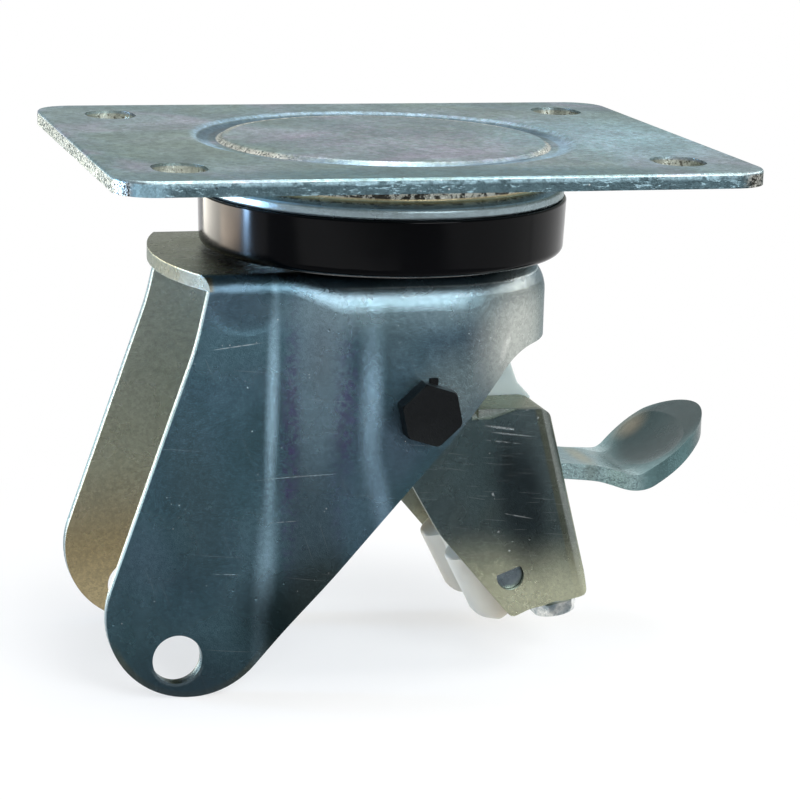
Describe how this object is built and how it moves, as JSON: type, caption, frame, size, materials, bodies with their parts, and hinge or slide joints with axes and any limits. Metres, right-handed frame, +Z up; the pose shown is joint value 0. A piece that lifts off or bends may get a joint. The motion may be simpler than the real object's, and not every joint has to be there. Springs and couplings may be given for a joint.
{
  "type": "swivel castor fork with brake",
  "caption": "Pressed-steel swivel castor fork on a slotted top plate, with a ball swivel head, seal ring and a foot-operated total-lock brake, shown without its wheel.",
  "frame": {"origin": "centre of the plate's top face", "axes": "+Z up, out of the plate's top face; X along the plate's long side, pedal towards +X, axle bore towards -X; Y across the fork"},
  "size_m": [0.1433, 0.11, 0.1139],
  "materials": {
    "plate_zinc": "bright zinc plate with a faint teal cast",
    "race_zinc": "zinc plate, brownish in places",
    "fork_zinc": "blue-passivated zinc plate",
    "housing_zinc": "zinc plate fading to khaki",
    "pedal_zinc": "zinc plate",
    "screw_zinc": "zinc plate",
    "black_steel": "black oxide",
    "bare_steel": "greased steel",
    "bearing_steel": "polished",
    "spring_steel": "drawn wire",
    "seal_plastic": "black, slightly glossy",
    "nylon_white": "natural nylon",
    "nylon_clear": "translucent natural nylon"
  },
  "bodies": {
    "plate": {"top_plate": "plate_zinc", "upper_race": "race_zinc", "king_bolt": "bare_steel", "king_washer": "bare_steel", "king_nut": "screw_zinc", "bottom_cup": "bare_steel", "lock_ring": "screw_zinc", "seal_ring": "seal_plastic"},
    "ball_rows": {"upper_balls": "bearing_steel", "lower_balls": "bearing_steel"},
    "swivel_fork": {"fork": "fork_zinc", "crown_race": "bare_steel", "pivot_bolt": "black_steel", "pivot_sleeve": "screw_zinc", "near_spacer": "screw_zinc", "pivot_washer": "screw_zinc", "pivot_nut": "black_steel", "return_spring": "spring_steel"},
    "brake": {"brake_housing": "housing_zinc", "shoe_pin": "bare_steel", "press_nut": "screw_zinc"},
    "pedal": {"pedal": "pedal_zinc"},
    "lock": {"swivel_lock": "nylon_clear"},
    "shoe": {"brake_shoe": "nylon_white"},
    "adjuster": {"adjusting_screw": "screw_zinc"}
  },
  "joints": [
    {"name": "swivel", "type": "hinge", "parent": "plate", "child": "swivel_fork", "pos_m": [0, 0, -0.0242], "axis": [0, 0, 1], "continuous": true},
    {"name": "ball_roll", "type": "hinge", "parent": "plate", "child": "ball_rows", "pos_m": [0, 0, -0.0242], "axis": [0, 0, 1], "continuous": true},
    {"name": "brake_swing", "type": "hinge", "parent": "swivel_fork", "child": "brake", "pos_m": [0.0028, 0, -0.0536], "axis": [0, 1, 0], "range_deg": [0, 3.6]},
    {"name": "pedal_press", "type": "hinge", "parent": "brake", "child": "pedal", "pos_m": [0.0378, 0, -0.074], "axis": [0, 1, 0], "range_deg": [0, 18], "stiffness_Nm_per_rad": 0.6, "springref_deg": -22.92},
    {"name": "lock_lift", "type": "slide", "parent": "brake", "child": "lock", "axis": [0, 0, 1], "range_m": [0, 0.0048]},
    {"name": "adjuster_advance", "type": "slide", "parent": "brake", "child": "adjuster", "axis": [-0.1808, 0, 0.9835], "range_m": [0, 0.0013]},
    {"name": "shoe_tilt", "type": "hinge", "parent": "brake", "child": "shoe", "pos_m": [0.0253, 0, -0.0934], "axis": [0, -1, 0], "range_deg": [0, 7.5]}
  ],
  "couplings": [
    {"joint": "ball_roll", "follows": "swivel", "ratio": 0.5},
    {"joint": "brake_swing", "follows": "pedal_press", "ratio": 0.199},
    {"joint": "lock_lift", "follows": "pedal_press", "m_per_rad": 0.0152},
    {"joint": "shoe_tilt", "follows": "adjuster_advance", "rad_per_m": 100}
  ]
}
